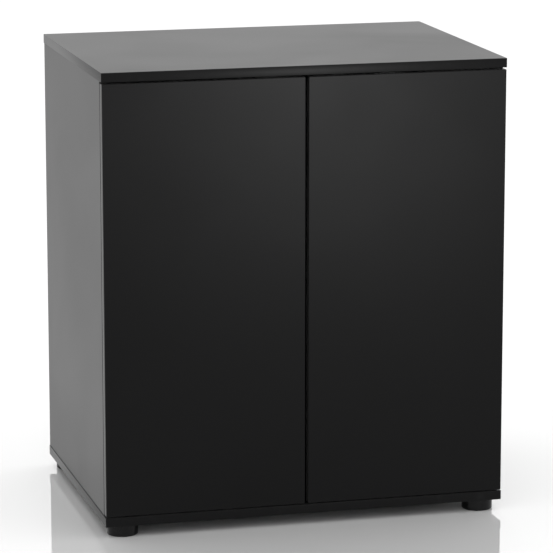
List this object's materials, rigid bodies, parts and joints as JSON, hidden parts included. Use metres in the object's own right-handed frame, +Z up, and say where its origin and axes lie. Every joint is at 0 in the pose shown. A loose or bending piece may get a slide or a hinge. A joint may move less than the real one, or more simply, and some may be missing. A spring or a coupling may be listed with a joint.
{
  "type": "aquarium stand cabinet",
  "caption": "Free-standing cabinet that carries an aquarium, with plain hinged doors, a loose inner shelf, a back panel with hose outlets, and low round feet.",
  "frame": {"origin": "on the floor, at the middle of the cabinet's footprint", "axes": "+Z up, -Y to the front where the doors are, +X to the right seen from the front"},
  "size_m": [0.71, 0.51, 0.803],
  "materials": {
    "black_laminate_board": "black melamine laminate, satin",
    "dark_back_board": "black melamine laminate, matt",
    "black_edge_band": "black ABS edge band, satin",
    "black_foot_plastic": "moulded polypropylene, satin",
    "black_moulded_plastic": "moulded plastic, matt",
    "dark_grey_plastic": "moulded plastic, matt",
    "light_grey_plastic": "moulded acetal, satin",
    "beech": "fluted beech, bare",
    "nickel_plated_zinc": "nickel plated, satin",
    "nickel_plated_steel": "nickel plated, bright",
    "bright_steel": "turned",
    "magnet_steel": "plated magnet",
    "zinc_plated_screws": "zinc plated"
  },
  "bodies": {
    "carcass": {"top_panel": "black_laminate_board", "top_panel_edging": "black_edge_band", "bottom_panel": "black_laminate_board", "bottom_panel_edging": "black_edge_band", "left_side_panel": "black_laminate_board", "left_side_edging": "black_edge_band", "right_side_panel": "black_laminate_board", "right_side_edging": "black_edge_band", "back_panel": "dark_back_board", "left_hose_grommet": "black_moulded_plastic", "right_hose_grommet": "black_moulded_plastic", "shelf": "black_laminate_board", "shelf_edging": "black_edge_band", "shelf_pins": "nickel_plated_zinc", "cam_bolts": "zinc_plated_screws", "cam_locks": "nickel_plated_zinc", "cam_caps": "black_moulded_plastic", "wood_dowels": "beech", "front_left_foot": "black_foot_plastic", "front_right_foot": "black_foot_plastic", "rear_left_foot": "black_foot_plastic", "rear_right_foot": "black_foot_plastic", "foot_screws": "zinc_plated_screws", "left_hinge_plates": "nickel_plated_zinc", "left_plate_screws": "zinc_plated_screws", "left_hinge_arms": "nickel_plated_zinc", "left_arm_pins": "bright_steel", "right_hinge_plates": "nickel_plated_zinc", "right_plate_screws": "zinc_plated_screws", "right_hinge_arms": "nickel_plated_zinc", "right_arm_pins": "bright_steel", "left_latch_housing": "dark_grey_plastic", "right_latch_housing": "dark_grey_plastic", "latch_screws": "zinc_plated_screws"},
    "left_door": {"left_door": "black_laminate_board", "left_door_edging": "black_edge_band", "left_hinge_cups": "nickel_plated_steel", "left_cup_pins": "bright_steel", "left_cup_screws": "zinc_plated_screws", "left_strike_plate": "nickel_plated_steel", "left_strike_screws": "zinc_plated_screws"},
    "left_outer_links": {"left_outer_links": "nickel_plated_steel"},
    "left_inner_links": {"left_inner_links": "nickel_plated_steel"},
    "left_latch_plunger": {"left_latch_plunger": "light_grey_plastic", "left_plunger_magnet": "magnet_steel"},
    "right_door": {"right_door": "black_laminate_board", "right_door_edging": "black_edge_band", "right_hinge_cups": "nickel_plated_steel", "right_cup_pins": "bright_steel", "right_cup_screws": "zinc_plated_screws", "right_strike_plate": "nickel_plated_steel", "right_strike_screws": "zinc_plated_screws"},
    "right_outer_links": {"right_outer_links": "nickel_plated_steel"},
    "right_inner_links": {"right_inner_links": "nickel_plated_steel"},
    "right_latch_plunger": {"right_latch_plunger": "light_grey_plastic", "right_plunger_magnet": "magnet_steel"}
  },
  "joints": [
    {"name": "left_outer_link_turn", "type": "hinge", "parent": "carcass", "child": "left_outer_links", "pos_m": [-0.3178, -0.2364, 0.4], "axis": [0, 0, 1], "range_deg": [0, 34.07]},
    {"name": "left_door_swing", "type": "hinge", "parent": "left_outer_links", "child": "left_door", "pos_m": [-0.3463, -0.2402, 0.4], "axis": [0, 0, -1], "range_deg": [0, 128.87]},
    {"name": "left_inner_link_turn", "type": "hinge", "parent": "carcass", "child": "left_inner_links", "pos_m": [-0.3341, -0.2431, 0.4], "axis": [0, 0, 1], "range_deg": [0, 60.46]},
    {"name": "left_plunger_slide", "type": "slide", "parent": "carcass", "child": "left_latch_plunger", "axis": [0, -1, 0], "range_m": [0, 0.0202]},
    {"name": "right_outer_link_turn", "type": "hinge", "parent": "carcass", "child": "right_outer_links", "pos_m": [0.3178, -0.2364, 0.4], "axis": [0, 0, -1], "range_deg": [0, 34.07]},
    {"name": "right_door_swing", "type": "hinge", "parent": "right_outer_links", "child": "right_door", "pos_m": [0.3463, -0.2402, 0.4], "axis": [0, 0, 1], "range_deg": [0, 128.87]},
    {"name": "right_inner_link_turn", "type": "hinge", "parent": "carcass", "child": "right_inner_links", "pos_m": [0.3341, -0.2431, 0.4], "axis": [0, 0, -1], "range_deg": [0, 60.46]},
    {"name": "right_plunger_slide", "type": "slide", "parent": "carcass", "child": "right_latch_plunger", "axis": [0, -1, 0], "range_m": [0, 0.0202]}
  ],
  "couplings": [
    {"joint": "left_outer_link_turn", "follows": "left_door_swing", "ratio": 0.26282},
    {"joint": "left_inner_link_turn", "follows": "left_door_swing", "ratio": 0.46761},
    {"joint": "left_plunger_slide", "follows": "left_door_swing", "m_per_rad": 0.008892},
    {"joint": "right_outer_link_turn", "follows": "right_door_swing", "ratio": 0.26282},
    {"joint": "right_inner_link_turn", "follows": "right_door_swing", "ratio": 0.46761},
    {"joint": "right_plunger_slide", "follows": "right_door_swing", "m_per_rad": 0.008892}
  ]
}
